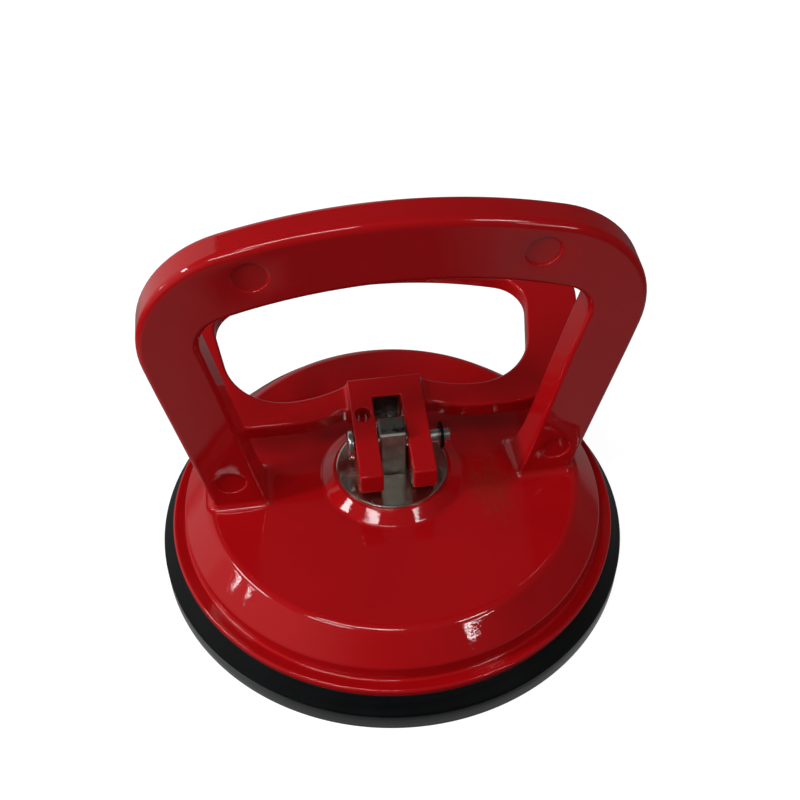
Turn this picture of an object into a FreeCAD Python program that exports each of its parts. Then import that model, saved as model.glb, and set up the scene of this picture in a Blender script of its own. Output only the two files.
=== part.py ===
"""Hand suction lifter: a rubber pad under a cast dish, with a fixed bow handle and a cam lever.

Millimetres. The origin is the centre of the pad's working face, +Z points up out of the dish,
X runs along the handle and -Y is the front, where the fork of the lever points.
The lever is modelled lying back, released.
"""
import FreeCAD
import Part
import math
import os

# Rubber pad
pad_lip = 3.0
pad_edge_height = 5.4
pad_rim_height = 9.2
pad_web = 5.0
pad_edge_round = 1.2
groove_count = 4
groove_inset = 9.0
groove_pitch = 5.0
groove_width = 1.6
groove_depth = 0.8

# Dish, a shell casting that stands on the rim of the pad
step_radius = 52.5
flange_width = 3.5
flange_thickness = 2.0
flange_fall = 0.9
ridge_rise = 5.6
ridge_round = 1.1
chamfer_run = 6.3
dish_rise = 12.0
flat_round = 3.0
dish_wall = 3.2
rim_width = 5.5
edge_round = 0.6

# Hub collar of the dish, with the seat of the wear washer and the pocket of the spring
collar_toe_radius = 17.8
collar_top_radius = 14.7
collar_rise = 2.4
collar_toe_round = 1.6
hub_boss_radius = 13.0
hub_boss_drop = 1.6
spring_roof = 2.6
rib_count = 6
rib_thickness = 2.4
rib_drop = 2.6

# Wear washer
washer_radius = 14.0
washer_thickness = 1.5
washer_stand = 0.8
washer_edge = 0.3
washer_fit = 0.15

# Fixed bow handle
handle_lean = 5.0
handle_base_y = -1.35
handle_thickness = 8.2
handle_height = 86.1
handle_crown_radius = 130.0
grip_height = 16.1
foot_set_in = 1.8
leg_width = 13.2
leg_splay = 10.1
shoulder_radius = 26.0
inner_corner_radius = 8.0
handle_edge_round = 1.4
buttress_reach = 3.0
buttress_height = 13.0
mark_diameter = 7.6
mark_depth = 0.3
upper_mark_x = 29.2
upper_mark_drop = 10.5
lower_mark_height = 9.8

# Screws that hold the handle from beneath
screw_diameter = 4.0
screw_length = 15.0
screw_head_diameter = 8.0
screw_head_height = 2.8
screw_key = 2.5
key_sides = 6
screw_key_depth = 1.5
screw_shift_y = -0.4
screw_boss_radius = 5.6
screw_boss_drop = 3.0
screw_play = 0.2
lock_washer_diameter = 7.4
lock_washer_thickness = 1.0

# Pull stud and the plate that is bonded to the back of the pad
stud_width = 6.4
stud_depth = 6.2
stud_above_pin = 5.1
stud_edge = 0.4
stud_play = 0.3
tenon_diameter = 4.6
plate_radius = 22.0
plate_thickness = 2.0
plate_edge = 0.5

# Return spring
spring_wire = 1.4
spring_mean_radius = 6.3
spring_turns = 4
spring_gap = 0.1
spring_pocket_play = 0.8

# Clevis pin and its clip
pin_diameter = 3.4
pin_height_over_washer = 8.6
pin_play = 0.05
pin_head_diameter = 7.3
pin_head_thickness = 1.5
pin_head_gap = 0.2
pin_reach = 14.4
pin_edge = 0.3
clip_place = 11.7
clip_thickness = 0.7
clip_diameter = 6.8
clip_groove_diameter = 2.6
clip_mouth = 2.3
clip_play = 0.05

# Lever: a loop with a hub and two cam prongs, drawn flat with U away from the pin and W up
lever_rest_angle = 12.0
lever_swing = 54.0
lever_top = 2.0
lever_thickness = 5.2
lever_edge_round = 0.8
loop_length = 65.0
loop_far_edge = 51.1
loop_crown_radius = 120.0
loop_corner_radius = 9.0
loop_shoulder_radius = 19.0
bar_width = 6.9
bar_dip_x = 23.7
bar_dip_u = 13.2
bar_dip_radius = 34.1
near_corner_radius = 15.5
front_dip_radius = 32.6
front_flat = 9.0
front_corner_radius = 19.7
hub_width = 18.4
hub_top = 3.7
hub_edge_round = 0.6
fork_slot = 7.2
slot_root = 10.8
prong_length = 11.7
heel_length = 3.5
heel_run = 7.0
cam_rise_per_rad = 4.1
cam_gap = 0.1
cam_points = 9
blind_hole_diameter = 4.0
blind_hole_depth = 4.5
blind_hole_u = 6.0

# Radii that follow from the step of the dish
flange_radius = step_radius + flange_width
pad_radius = flange_radius + pad_lip
groove_outer_radius = pad_radius - groove_inset
dish_mouth_radius = step_radius - rim_width
flat_radius = step_radius - chamfer_run
inner_flat_radius = dish_mouth_radius - chamfer_run
leg_foot_outer = flat_radius - foot_set_in

# Heights that follow from the stack of pieces
flange_bottom = pad_rim_height
flange_top = flange_bottom + flange_thickness
ridge_z = flange_bottom + ridge_rise
flat_z = flange_bottom + dish_rise
ceiling_z = flat_z - dish_wall
washer_top = flat_z + collar_rise + washer_stand
washer_seat = washer_top - washer_thickness
boss_bottom = ceiling_z - hub_boss_drop
spring_top = washer_seat - spring_roof
plate_top = pad_web + plate_thickness
pin_z = washer_top + pin_height_over_washer
screw_boss_bottom = ceiling_z - screw_boss_drop
leg_tan = math.tan(math.radians(leg_splay))
foot_centre_x = leg_foot_outer - leg_width / 2
stud_corner_radius = math.hypot(stud_width, stud_depth) / 2
bore_radius = stud_corner_radius + stud_play
spring_outer_radius = spring_mean_radius + spring_wire / 2

origin = FreeCAD.Vector(0, 0, 0)
x_axis = FreeCAD.Vector(1, 0, 0)
y_axis = FreeCAD.Vector(0, 1, 0)
z_axis = FreeCAD.Vector(0, 0, 1)


def in_plan(a, b):
    """Point of an outline drawn in X and Y."""
    return FreeCAD.Vector(a, b, 0)


def in_front(a, b):
    """Point of an outline drawn in X and Z, which a turned section also uses."""
    return FreeCAD.Vector(a, 0, b)


def in_side(a, b):
    """Point of an outline drawn in Y and Z."""
    return FreeCAD.Vector(0, a, b)


def rounded_face(corners, place):
    """Face with straight sides whose corners (a, b, radius) are rounded by tangent arcs."""
    ends = []
    for i, (a, b, radius) in enumerate(corners):
        corner = place(a, b)
        before = place(*corners[i - 1][:2]).sub(corner).normalize()
        after = place(*corners[(i + 1) % len(corners)][:2]).sub(corner).normalize()
        half = before.getAngle(after) / 2
        reach = radius / math.tan(half)
        inward = before.add(after).normalize() if radius else before
        depth = radius / math.sin(half) - radius
        ends.append((corner.add(before * reach), corner.add(inward * depth), corner.add(after * reach)))
    edges = []
    for i, (start, middle, end) in enumerate(ends):
        if corners[i][2]:
            edges.append(Part.Arc(start, middle, end).toShape())
        edges.append(Part.LineSegment(end, ends[(i + 1) % len(ends)][0]).toShape())
    return Part.Face(Part.Wire(edges))


def turned(corners):
    """Solid of revolution about Z from a section of (radius, height, rounding) corners."""
    return rounded_face(corners, in_front).revolve(origin, z_axis, 360)


def cylinder(radius, bottom, top, x=0.0, y=0.0):
    """Upright cylinder between two heights."""
    return Part.makeCylinder(radius, top - bottom, FreeCAD.Vector(x, y, bottom), z_axis)


def cross_cylinder(radius, left, right):
    """Cylinder along X on the axis of the lever pin."""
    return Part.makeCylinder(radius, right - left, FreeCAD.Vector(left, 0, pin_z), x_axis)


def block(x0, x1, y0, y1, z0, z1):
    """Box between two corners."""
    return Part.makeBox(x1 - x0, y1 - y0, z1 - z0, FreeCAD.Vector(x0, y0, z0))


def both_sides(shape):
    """The shape and its mirror image across the middle plane."""
    return [shape, shape.mirror(origin, x_axis)]


def edges_where(shape, test):
    """Edges whose middle point passes the test."""
    middles = [(edge, edge.valueAt((edge.FirstParameter + edge.LastParameter) / 2)) for edge in shape.Edges]
    return [edge for edge, middle in middles if test(middle)]


def rubber_pad():
    """Moulded pad: a bevelled rim that carries the dish, a thin middle and grooves in the face."""
    section = [
        (0, 0, 0),
        (pad_radius, 0, pad_edge_round / 2),
        (pad_radius, pad_edge_height, pad_edge_round),
        (flange_radius, pad_rim_height, 0),
        (dish_mouth_radius, pad_rim_height, 0),
        (dish_mouth_radius, pad_web, 0),
        (0, pad_web, 0),
    ]
    pad = turned(section)
    for i in range(groove_count):
        outer = groove_outer_radius - i * groove_pitch
        ring = cylinder(outer, 0, groove_depth).cut(cylinder(outer - groove_width, 0, groove_depth))
        pad = pad.cut(ring)
    return pad


def dish_section():
    """Half section of the dish, from the bore out over the top and back under the rim."""
    inner_ridge_z = ceiling_z - (flat_z - ridge_z)
    return [
        (bore_radius, boss_bottom, 0),
        (bore_radius, washer_seat, 0),
        (washer_radius, washer_seat, 0),
        (washer_radius, flat_z + collar_rise, 0),
        (collar_top_radius, flat_z + collar_rise, edge_round / 2),
        (collar_toe_radius, flat_z, collar_toe_round),
        (flat_radius, flat_z, flat_round),
        (step_radius, ridge_z, ridge_round),
        (step_radius, flange_top - flange_fall, edge_round),
        (flange_radius, flange_top, edge_round),
        (flange_radius, flange_bottom, 0),
        (dish_mouth_radius, flange_bottom, 0),
        (dish_mouth_radius, inner_ridge_z, edge_round),
        (inner_flat_radius, ceiling_z, flat_round),
        (hub_boss_radius, ceiling_z, edge_round),
        (hub_boss_radius, boss_bottom, edge_round),
    ]


def dish():
    """Cast dish with stiffening ribs, bosses for the handle screws and a pocket for the spring."""
    body = turned(dish_section())
    for i in range(rib_count):
        rib = block(hub_boss_radius - dish_wall, inner_flat_radius, -rib_thickness / 2, rib_thickness / 2,
                    ceiling_z - rib_drop, ceiling_z + dish_wall / 2)
        body = body.fuse(rib.rotate(origin, z_axis, (i + 0.5) * 360 / rib_count))
    screw_y = handle_base_y + screw_shift_y
    for side in (-1, 1):
        x = side * foot_centre_x
        body = body.fuse(cylinder(screw_boss_radius, screw_boss_bottom, flat_z - dish_wall / 2, x, screw_y))
    hole_radius = screw_diameter / 2 + screw_play
    spot_radius = screw_head_diameter / 2 + screw_play
    for side in (-1, 1):
        x = side * foot_centre_x
        body = body.cut(cylinder(hole_radius, screw_boss_bottom, flat_z, x, screw_y))
        body = body.cut(cylinder(spot_radius, flange_bottom, screw_boss_bottom, x, screw_y))
    body = body.cut(cylinder(spring_outer_radius + spring_pocket_play, boss_bottom, spring_top))
    return body.removeSplitter()


def wear_washer():
    """Polished steel washer under the cam prongs, with a slot that keeps the stud from turning."""
    disc = turned([
        (0, washer_seat, 0),
        (washer_radius, washer_seat, 0),
        (washer_radius, washer_top, washer_edge),
        (0, washer_top, 0),
    ])
    half_x = stud_width / 2 + washer_fit
    half_y = stud_depth / 2 + washer_fit
    return disc.cut(block(-half_x, half_x, -half_y, half_y, washer_seat, washer_top))


def bow_block(foot_half_width, height, crown_radius, corner_radius):
    """Upright slab with splayed sides and a crowned top, rounded at its two shoulders."""
    below = flange_bottom
    low = foot_half_width - below * leg_tan
    high = foot_half_width + height * leg_tan
    sides = [(-low, -below, 0), (low, -below, 0), (high, height, 0), (-high, height, 0)]
    half = handle_thickness / 2
    slab = rounded_face(sides, in_front).extrude(y_axis * handle_thickness)
    crown_centre = in_front(0, height - crown_radius)
    crown = Part.makeCylinder(crown_radius, handle_thickness, crown_centre, y_axis)
    slab = slab.common(crown)
    corners = edges_where(slab, lambda p: abs(p.y - half) < edge_round and p.z > 0)
    return slab.makeFillet(corner_radius, corners).translate(y_axis * -half)


def handle_bow():
    """Cast bow: rounded on all edges, leaning forwards, cut off square on the flat of the dish."""
    half = handle_thickness / 2
    outer = bow_block(leg_foot_outer, handle_height, handle_crown_radius, shoulder_radius)
    inner = bow_block(leg_foot_outer - leg_width, handle_height - grip_height,
                      handle_crown_radius - grip_height, inner_corner_radius)
    bow = outer.cut(inner)
    foot = edge_round - flange_bottom
    rims = edges_where(bow, lambda p: abs(abs(p.y) - half) < edge_round / 2 and p.z > foot)
    bow = bow.makeFillet(handle_edge_round, rims)
    lower_mark_x = foot_centre_x + lower_mark_height * leg_tan
    marks = [(upper_mark_x, handle_height - upper_mark_drop), (lower_mark_x, lower_mark_height)]
    for x, z in marks:
        for side in (-1, 1):
            place = FreeCAD.Vector(side * x, -half, z)
            bow = bow.cut(Part.makeCylinder(mark_diameter / 2, mark_depth, place, y_axis))
    bow = bow.rotate(origin, x_axis, handle_lean)
    bow = bow.translate(FreeCAD.Vector(0, handle_base_y, flat_z))
    back = handle_base_y + half
    wedge = rounded_face([
        (handle_base_y, flat_z, 0),
        (back + buttress_reach, flat_z, 0),
        (back, flat_z + buttress_height, 0),
        (handle_base_y, flat_z + buttress_height, 0),
    ], in_side).extrude(x_axis * (leg_width - 2 * edge_round))
    for buttress in both_sides(wedge.translate(x_axis * (leg_foot_outer - leg_width + edge_round))):
        bow = bow.fuse(buttress)
    bow = bow.cut(cylinder(pad_radius, flat_z - handle_height, flat_z))
    hole_top = screw_boss_bottom - lock_washer_thickness + screw_length + screw_play
    for side in (-1, 1):
        bow = bow.cut(cylinder(screw_diameter / 2, flat_z, hole_top, side * foot_centre_x,
                               handle_base_y + screw_shift_y))
    return bow.removeSplitter()


def handle_screw(side):
    """Socket screw that comes up through the dish into one foot of the handle."""
    x = side * foot_centre_x
    y = handle_base_y + screw_shift_y
    seat = screw_boss_bottom - lock_washer_thickness
    head_end = seat - screw_head_height
    head = cylinder(screw_head_diameter / 2, head_end, seat, x, y)
    head = head.makeFillet(edge_round, edges_where(head, lambda p: p.z < head_end + edge_round))
    screw = head.fuse(cylinder(screw_diameter / 2, seat, seat + screw_length, x, y))
    key_radius = screw_key / 2 / math.cos(math.pi / key_sides)
    corners = [2 * math.pi * i / key_sides for i in range(key_sides + 1)]
    key = Part.Face(Part.makePolygon([
        FreeCAD.Vector(x + key_radius * math.cos(t), y + key_radius * math.sin(t), head_end)
        for t in corners]))
    return screw.cut(key.extrude(z_axis * screw_key_depth)).removeSplitter()


def lock_washer(side):
    """Split spring washer under the head of one handle screw."""
    x = side * foot_centre_x
    y = handle_base_y + screw_shift_y
    bottom = screw_boss_bottom - lock_washer_thickness
    ring = cylinder(lock_washer_diameter / 2, bottom, screw_boss_bottom, x, y)
    ring = ring.cut(cylinder(screw_diameter / 2 + screw_play, bottom, screw_boss_bottom, x, y))
    gap = block(x, x + lock_washer_diameter, y - screw_play, y + screw_play, bottom, screw_boss_bottom)
    return ring.cut(gap)


def pull_stud():
    """Flat steel stud: cross hole for the pin at the top, riveted tenon at the bottom."""
    top = pin_z + stud_above_pin
    bar = block(-stud_width / 2, stud_width / 2, -stud_depth / 2, stud_depth / 2, plate_top, top)
    bar = bar.makeChamfer(stud_edge, edges_where(bar, lambda p: p.z > plate_top))
    stud = bar.fuse(cylinder(tenon_diameter / 2, pad_web, plate_top))
    return stud.cut(cross_cylinder(pin_diameter / 2 + pin_play, -stud_width, stud_width)).removeSplitter()


def backing_plate():
    """Steel disc on the back of the pad that the stud is riveted to."""
    return turned([
        (tenon_diameter / 2, pad_web, 0),
        (plate_radius, pad_web, 0),
        (plate_radius, plate_top, plate_edge),
        (tenon_diameter / 2, plate_top, 0),
    ])


def return_spring():
    """Compression spring around the stud: tilted half turns between a flat half turn at each end."""
    half_turns = 2 * spring_turns
    height = plate_top + spring_gap + spring_wire / 2
    rise = spring_top - spring_gap - spring_wire / 2 - height
    arcs = []
    for i in range(half_turns):
        side = 1 if i % 2 == 0 else -1
        climb = 0 if i in (0, half_turns - 1) else rise / (half_turns - 2)
        reach = math.hypot(spring_mean_radius, climb / 2)
        tilt = math.degrees(math.atan2(climb / 2, spring_mean_radius))
        wire = Part.Circle(x_axis * (side * reach), y_axis, spring_wire / 2)
        arc = Part.Face(Part.Wire(wire.toShape())).revolve(origin, z_axis, 180)
        arc = arc.rotate(origin, y_axis, side * tilt)
        arcs.append(arc.translate(z_axis * (height + climb / 2)))
        height += climb
    return arcs[0].multiFuse(arcs[1:]).removeSplitter().Solids[0]


def lever_pin():
    """Clevis pin with a flat head at the left and a clip groove near its right end."""
    head_face = -hub_width / 2 - pin_head_gap
    shank = cross_cylinder(pin_diameter / 2, head_face, pin_reach)
    shank = shank.makeChamfer(pin_edge, edges_where(shank, lambda p: p.x > clip_place))
    head = cross_cylinder(pin_head_diameter / 2, head_face - pin_head_thickness, head_face)
    head = head.makeFillet(pin_edge, head.Edges[:1] + head.Edges[2:])
    pin = shank.fuse(head)
    groove = cross_cylinder(pin_diameter, clip_place, clip_place + clip_thickness + 2 * clip_play)
    groove = groove.cut(cross_cylinder(clip_groove_diameter / 2, clip_place, pin_reach))
    return pin.cut(groove).removeSplitter()


def pin_clip():
    """Spring steel E-clip that sits in the groove of the pin, open downwards."""
    left = clip_place + clip_play
    right = left + clip_thickness
    ring = cross_cylinder(clip_diameter / 2, left, right)
    ring = ring.cut(cross_cylinder(clip_groove_diameter / 2 + clip_play, left, right))
    mouth = block(left, right, -clip_mouth / 2, clip_mouth / 2, pin_z - clip_diameter, pin_z)
    return ring.cut(mouth)


def tangent_arc(centre, radius, start, end):
    """Arc about a centre between two angles in degrees, drawn in plan."""
    points = []
    for angle in (start, (start + end) / 2, end):
        t = math.radians(angle)
        points.append(FreeCAD.Vector(centre[0] + radius * math.cos(t), centre[1] + radius * math.sin(t), 0))
    return Part.Arc(*points).toShape()


def half_loop(bar_u, dip_radius, corner_x, corner_radius, far_edge):
    """Right half of a loop outline: wavy bar, round corner, splayed arm and square far end."""
    hub_side = math.degrees(math.asin((bar_dip_x - hub_width / 2) / dip_radius))
    dip = tangent_arc((bar_dip_x, bar_u + dip_radius), dip_radius, -90 - hub_side, -90)
    corner = tangent_arc((corner_x, bar_u + corner_radius), corner_radius, -90, -leg_splay)
    arm_start = corner.Vertexes[-1].Point
    arm_end = in_plan(arm_start.x + (far_edge - arm_start.y) * leg_tan, far_edge)
    hub_point = dip.Vertexes[0].Point
    edges = [Part.LineSegment(in_plan(0, hub_point.y), hub_point).toShape(), dip, corner]
    if corner_x > bar_dip_x:
        edges.append(Part.LineSegment(in_plan(bar_dip_x, bar_u), in_plan(corner_x, bar_u)).toShape())
    edges.append(Part.LineSegment(arm_start, arm_end).toShape())
    edges.append(Part.LineSegment(arm_end, in_plan(0, far_edge)).toShape())
    return edges


def loop_block(bar_u, dip_radius, corner_x, corner_radius, far_edge, crown_radius, shoulder):
    """Slab of the lever's thickness with a loop outline, a crowned far end and round shoulders."""
    right = half_loop(bar_u, dip_radius, corner_x, corner_radius, far_edge)
    left = [edge.mirror(origin, x_axis) for edge in right]
    face = Part.Face(Part.Wire(Part.sortEdges(right + left)[0]))
    slab = face.extrude(z_axis * lever_thickness)
    crown = cylinder(crown_radius, 0, lever_thickness, 0, far_edge - crown_radius)
    slab = slab.common(crown)
    middle = lever_thickness / 2
    uprights = edges_where(slab, lambda p: abs(p.z - middle) < edge_round and abs(p.x) > edge_round)
    far_pair = sorted(uprights, key=lambda edge: edge.Vertexes[0].Point.y)[-2:]
    return slab.makeFillet(shoulder, far_pair).translate(z_axis * (lever_top - lever_thickness))


def cam_point(angle):
    """Point of the cam, an involute: its reach below the pin grows evenly as the lever turns."""
    turn = math.radians(angle)
    reach = pin_height_over_washer - cam_gap + cam_rise_per_rad * math.radians(angle - lever_rest_angle)
    u = -reach * math.sin(turn) - cam_rise_per_rad * math.cos(turn)
    w = -reach * math.cos(turn) + cam_rise_per_rad * math.sin(turn)
    return in_side(u, w)


def fork():
    """Hub and prongs: a flat heel that rests on the washer, then the cam up to the prong's end."""
    shoulder_run = bar_dip_x - hub_width / 2
    hub_far_edge = bar_dip_u + bar_dip_radius - math.sqrt(bar_dip_radius ** 2 - shoulder_run ** 2)
    angles = [lever_rest_angle + lever_swing * i / (cam_points - 1) for i in range(cam_points)]
    cam = Part.BSplineCurve()
    cam.interpolate([cam_point(angle) for angle in angles])
    rest = math.radians(lever_rest_angle)
    heel_drop = cam_gap - pin_height_over_washer
    heel_end = in_side(heel_length * math.cos(rest) + heel_drop * math.sin(rest),
                       -heel_length * math.sin(rest) + heel_drop * math.cos(rest))
    lever_bottom = lever_top - lever_thickness
    corners = [
        cam_point(angles[-1]),
        in_side(-prong_length, hub_top),
        in_side(hub_far_edge, hub_top),
        in_side(hub_far_edge, lever_bottom),
        in_side(heel_run, lever_bottom),
        heel_end,
        cam_point(angles[0]),
    ]
    edges = [Part.LineSegment(a, b).toShape() for a, b in zip(corners, corners[1:])]
    side = Part.Face(Part.Wire(edges + [cam.toShape()]))
    body = side.extrude(x_axis * hub_width).translate(x_axis * (-hub_width / 2))
    return body.makeFillet(hub_edge_round, edges_where(body, lambda p: p.z > hub_top - hub_edge_round / 2))


def lever():
    """Cast lever: rounded loop, hub and fork in one piece, bored for the pin, lying back at rest."""
    far_width = loop_length - loop_far_edge
    outer = loop_block(bar_dip_u - bar_width, front_dip_radius, bar_dip_x + front_flat, front_corner_radius,
                       loop_length, loop_crown_radius + far_width, loop_shoulder_radius)
    opening = loop_block(bar_dip_u, bar_dip_radius, bar_dip_x, near_corner_radius,
                         loop_far_edge, loop_crown_radius, loop_corner_radius)
    loop = outer.cut(opening)
    faces = (lever_top, lever_top - lever_thickness)
    rims = edges_where(loop, lambda p: min(abs(p.z - w) for w in faces) < edge_round / 2)
    loop = loop.makeFillet(lever_edge_round, rims)
    slot = block(-fork_slot / 2, fork_slot / 2, -loop_length, slot_root, -loop_length, loop_length)
    body = loop.fuse(fork()).cut(slot)
    bore = Part.makeCylinder(pin_diameter / 2 + pin_play, hub_width, x_axis * (-hub_width / 2), x_axis)
    body = body.cut(bore)
    prong_middle = (fork_slot + hub_width) / 4
    hole = cylinder(blind_hole_diameter / 2, hub_top - blind_hole_depth, hub_top, -prong_middle, blind_hole_u)
    body = body.cut(hole).removeSplitter()
    return body.rotate(origin, x_axis, lever_rest_angle).translate(z_axis * pin_z)


pieces = {
    "rubber_pad": rubber_pad(),
    "dish": dish(),
    "wear_washer": wear_washer(),
    "handle_bow": handle_bow(),
    "handle_screws": Part.makeCompound([handle_screw(-1), handle_screw(1)]),
    "handle_lock_washers": Part.makeCompound([lock_washer(-1), lock_washer(1)]),
    "pull_stud": pull_stud(),
    "backing_plate": backing_plate(),
    "return_spring": return_spring(),
    "lever_pin": lever_pin(),
    "pin_clip": pin_clip(),
    "lever": lever(),
}
os.makedirs("parts", exist_ok=True)
for name, shape in pieces.items():
    shape.exportStep("parts/" + name + ".step")
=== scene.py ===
import math

import bmesh
import bpy
from mathutils import Matrix, Vector


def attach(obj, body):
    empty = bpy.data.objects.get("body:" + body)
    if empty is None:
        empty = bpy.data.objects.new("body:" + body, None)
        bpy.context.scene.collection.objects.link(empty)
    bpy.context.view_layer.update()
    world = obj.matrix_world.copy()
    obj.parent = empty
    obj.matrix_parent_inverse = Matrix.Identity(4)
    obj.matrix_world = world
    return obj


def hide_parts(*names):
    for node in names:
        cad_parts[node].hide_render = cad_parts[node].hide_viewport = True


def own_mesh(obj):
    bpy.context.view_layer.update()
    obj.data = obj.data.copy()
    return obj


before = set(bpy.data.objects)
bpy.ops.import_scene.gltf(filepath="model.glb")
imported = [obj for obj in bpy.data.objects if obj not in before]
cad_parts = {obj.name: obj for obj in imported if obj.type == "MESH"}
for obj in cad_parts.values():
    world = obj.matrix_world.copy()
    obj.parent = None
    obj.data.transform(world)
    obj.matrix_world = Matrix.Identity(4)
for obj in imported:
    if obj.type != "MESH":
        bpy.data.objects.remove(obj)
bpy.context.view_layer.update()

# Rubber pad
# A disc of moulded black rubber, 118 mm across, that seals against the glass.
# Its bevelled rim carries the dish, and four rings are moulded into its working face.
# Here and below, shapes are drawn in millimetres, and the patterns of a finish are measured in metres.
pad_radius = 59.0
pad_edge_height = 5.4
pad_rim_height = 9.2
pad_web = 5.0
pad_sides = 240
groove_count = 4
groove_outer = 50.0
groove_pitch = 5.0
groove_width = 1.6
groove_depth = 0.8
flange_radius = 56.0
mouth_radius = 47.0
rubber_dark = "#08090A"
rubber_worn = "#131517"
bloom_size = 0.011
rubber_grain = 0.0006
grain_depth = 0.00003
mould_ring = 0.0012
mould_ring_depth = 0.00006
mould_ring_drift = 0.02


def linear(code):
    """An sRGB hex colour as linear red, green, blue and alpha."""
    parts = [int(code[i:i + 2], 16) / 255 for i in (1, 3, 5)]
    return [p / 12.92 if p <= 0.04045 else ((p + 0.055) / 1.055) ** 2.4 for p in parts] + [1.0]


def add(tree, kind, inputs=None, **settings):
    """One node with its settings, and its sockets set to values or linked to other nodes' outputs."""
    made = tree.nodes.new(kind)
    for key, value in settings.items():
        setattr(made, key, value)
    for key, value in (inputs or {}).items():
        if isinstance(value, bpy.types.NodeSocket):
            tree.links.new(value, made.inputs[key])
        else:
            made.inputs[key].default_value = value
    return made


def finish_named(name):
    """A new material with its node tree, its shader and the coordinates that its patterns read."""
    made = bpy.data.materials.new(name)
    made.use_nodes = True
    tree = made.node_tree
    tree.nodes.clear()
    shader = add(tree, "ShaderNodeBsdfPrincipled")
    add(tree, "ShaderNodeOutputMaterial", {"Surface": shader.outputs["BSDF"]})
    place = add(tree, "ShaderNodeTexCoord").outputs["Object"]
    return made, tree, shader, place


def rounded(corners, steps=6, hold=0.2):
    """Closed outline through (a, b, radius) corners, with tangent arcs.
    A point stands close to each end of an arc, so that the straight beside it stays flat."""
    arcs = []
    for i, (a, b, radius) in enumerate(corners):
        here = Vector((a, b))
        if not radius:
            arcs.append([here])
            continue
        before = (Vector(corners[i - 1][:2]) - here).normalized()
        after = (Vector(corners[(i + 1) % len(corners)][:2]) - here).normalized()
        half = before.angle(after) / 2
        centre = here + (before + after).normalized() * (radius / math.sin(half))
        start = here + before * (radius / math.tan(half)) - centre
        end = here + after * (radius / math.tan(half)) - centre
        sweep = math.atan2(start.x * end.y - start.y * end.x, start.dot(end))
        arcs.append([centre + Matrix.Rotation(sweep * k / steps, 2) @ start for k in range(steps + 1)])
    outline = []
    for i, arc in enumerate(arcs):
        following = arcs[(i + 1) % len(arcs)]
        straight = following[0] - arc[-1]
        outline.extend(arc)
        if straight.length > 4 * hold:
            if len(arc) > 1:
                outline.append(arc[-1] + straight.normalized() * hold)
            if len(following) > 1:
                outline.append(following[0] - straight.normalized() * hold)
    return outline


def once_round(count):
    """Evenly spaced angles, once round."""
    return [2 * math.pi * k / count for k in range(count)]


def ring_at(shape, radius, height, count):
    """New vertices, evenly spaced on a level circle about Z."""
    spots = [(radius * math.cos(t), radius * math.sin(t), height) for t in once_round(count)]
    return [shape.verts.new(spot) for spot in spots]


def turned(shape, outline, segments):
    """Turns a closed outline of (radius, height) points about Z."""
    rings = []
    for radius, height in outline:
        on_axis = radius < 1e-6
        rings.append([shape.verts.new((0, 0, height))] * segments if on_axis
                     else ring_at(shape, radius, height, segments))
    for i, ring in enumerate(rings):
        above = rings[(i + 1) % len(rings)]
        for k in range(segments):
            corners = [ring[k], ring[(k + 1) % segments], above[(k + 1) % segments], above[k]]
            corners = list(dict.fromkeys(corners))
            if len(corners) > 2:
                shape.faces.new(corners)


def piece(name, shape, finish, slot, body, *nodes):
    """A closed shape in millimetres becomes an object that rides on a body and stands for CAD nodes."""
    crease = math.radians(32)
    bmesh.ops.recalc_face_normals(shape, faces=shape.faces)
    for face in shape.faces:
        face.smooth = True
    for edge in shape.edges:
        edge.smooth = not edge.is_manifold or edge.calc_face_angle() < crease
    shape.transform(Matrix.Scale(0.001, 4))
    mesh = bpy.data.meshes.new(name)
    shape.to_mesh(mesh)
    shape.free()
    mesh.materials.append(finish)
    made = bpy.data.objects.new(name, mesh)
    bpy.context.scene.collection.objects.link(made)
    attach(made, body)
    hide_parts(*nodes)
    return made


# Moulded natural rubber: near black, a dull sheen, a fine grain and faint turning rings from the mould,
# and a trace of grey bloom. The grain and the rings are drawn coarser than real ones, so that they show.
rubber, tree, shader, place = finish_named("moulded black rubber")
cloud = add(tree, "ShaderNodeTexNoise", {"Vector": place, "Scale": 1 / bloom_size, "Detail": 4.0})
grain = add(tree, "ShaderNodeTexNoise", {"Vector": place, "Scale": 1 / rubber_grain, "Detail": 2.0})
spot = add(tree, "ShaderNodeSeparateXYZ", {0: place})
flat = add(tree, "ShaderNodeVectorMath", {0: place, 1: (1, 1, 0)}, operation="MULTIPLY")
reach = add(tree, "ShaderNodeVectorMath", {0: flat.outputs[0]}, operation="LENGTH")
round_it = add(tree, "ShaderNodeCombineXYZ", {0: reach.outputs["Value"], 1: spot.outputs["Z"]})
drift = add(tree, "ShaderNodeVectorMath", {0: place, 1: [mould_ring_drift] * 3, 2: round_it.outputs[0]},
            operation="MULTIPLY_ADD")
streak = add(tree, "ShaderNodeTexNoise", {"Vector": drift.outputs[0], "Scale": 1 / mould_ring,
                                          "Detail": 3.0})
bloom = add(tree, "ShaderNodeMapRange", {0: cloud.outputs["Fac"], 1: 0.35, 2: 0.75})
bloom = add(tree, "ShaderNodeMath", {0: bloom.outputs[0], 1: streak.outputs["Fac"]}, operation="MULTIPLY")
tone = add(tree, "ShaderNodeMix", {0: bloom.outputs[0], 6: linear(rubber_dark), 7: linear(rubber_worn)},
           data_type="RGBA")
tree.links.new(tone.outputs[2], shader.inputs["Base Color"])
dull = add(tree, "ShaderNodeMapRange", {0: streak.outputs["Fac"], 1: 0.3, 2: 0.7, 3: 0.34, 4: 0.56})
tree.links.new(dull.outputs[0], shader.inputs["Roughness"])
relief = add(tree, "ShaderNodeBump", {"Height": grain.outputs["Fac"], "Distance": grain_depth,
                                      "Strength": 0.6})
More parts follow.
